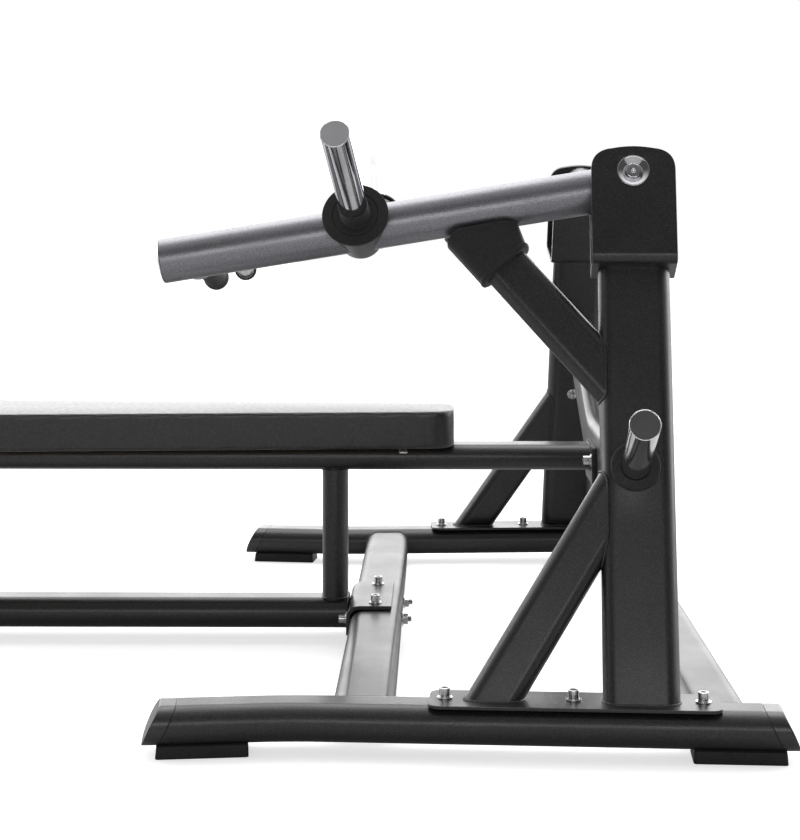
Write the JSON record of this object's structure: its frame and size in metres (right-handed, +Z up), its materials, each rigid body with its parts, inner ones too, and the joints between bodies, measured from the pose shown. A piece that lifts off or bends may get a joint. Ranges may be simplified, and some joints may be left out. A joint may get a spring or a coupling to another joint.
{
  "type": "plate-loaded flat bench press machine",
  "caption": "Flat bench between two leaning side frames, each with a separate lever arm that turns on a pivot, carries a weight horn and handle, and rests on a rubber stop.",
  "frame": {"origin": "on the floor, under the middle of the machine's bounding box", "axes": "+X runs along the bench towards the head end, +Y across towards the lifter's right, +Z up"},
  "size_m": [1.859, 1.969, 0.9851],
  "materials": {
    "frame": "fine textured black powder coat",
    "arm": "metallic dark silver-grey paint",
    "chrome": "polished chrome plate",
    "zinc": "bright zinc",
    "rubber": "matt black",
    "plastic": "fine grained black",
    "grip": "textured grip",
    "vinyl": "grained black vinyl",
    "plywood": "raw plywood",
    "bronze": "sintered bronze"
  },
  "bodies": {
    "frame": {"front_cross_member": "frame", "rear_cross_member": "frame", "yoke_beam": "frame", "bench_bracket": "frame", "bench_lower_tube": "frame", "bench_upper_tube": "frame", "bench_tube_plug": "plastic", "rear_bench_post": "frame", "front_bench_post": "frame", "front_foot_bar": "frame", "foot_bar_left_cap": "plastic", "foot_bar_right_cap": "plastic", "foot_bar_left_foot": "rubber", "foot_bar_right_foot": "rubber", "back_pad": "vinyl", "pad_board": "plywood", "left_base_rail": "frame", "left_rail_front_cap": "plastic", "left_rail_rear_cap": "plastic", "left_front_foot": "rubber", "left_rear_foot": "rubber", "left_base_plate": "frame", "left_upright": "frame", "left_lower_brace": "frame", "left_upper_brace": "frame", "left_stop_boot": "rubber", "left_pivot_clevis": "frame", "left_pivot_pin": "chrome", "left_pivot_dish": "chrome", "left_storage_horn": "chrome", "left_storage_collar": "rubber", "right_base_rail": "frame", "right_rail_front_cap": "plastic", "right_rail_rear_cap": "plastic", "right_front_foot": "rubber", "right_rear_foot": "rubber", "right_base_plate": "frame", "right_upright": "frame", "right_lower_brace": "frame", "right_upper_brace": "frame", "right_stop_boot": "rubber", "right_pivot_clevis": "frame", "right_pivot_pin": "chrome", "right_pivot_dish": "chrome", "right_storage_horn": "chrome", "right_storage_collar": "rubber"},
    "left_lever": {"left_arm": "arm", "left_arm_end_cap": "zinc", "left_hub_bush": "bronze", "left_horn_housing": "plastic", "left_horn_stop": "rubber", "left_arm_horn": "chrome", "left_handle_grip": "grip"},
    "right_lever": {"right_arm": "arm", "right_arm_end_cap": "zinc", "right_hub_bush": "bronze", "right_horn_housing": "plastic", "right_horn_stop": "rubber", "right_arm_horn": "chrome", "right_handle_grip": "grip"}
  },
  "joints": [
    {"name": "left_lever_pivot", "type": "hinge", "parent": "frame", "child": "left_lever", "pos_m": [0.70615, -0.51546, 0.89743], "axis": [0.0546, 0.9381, -0.342], "range_deg": [0, 45]},
    {"name": "right_lever_pivot", "type": "hinge", "parent": "frame", "child": "right_lever", "pos_m": [0.70615, 0.51546, 0.89743], "axis": [-0.0546, 0.9381, 0.342], "range_deg": [0, 45]}
  ]
}
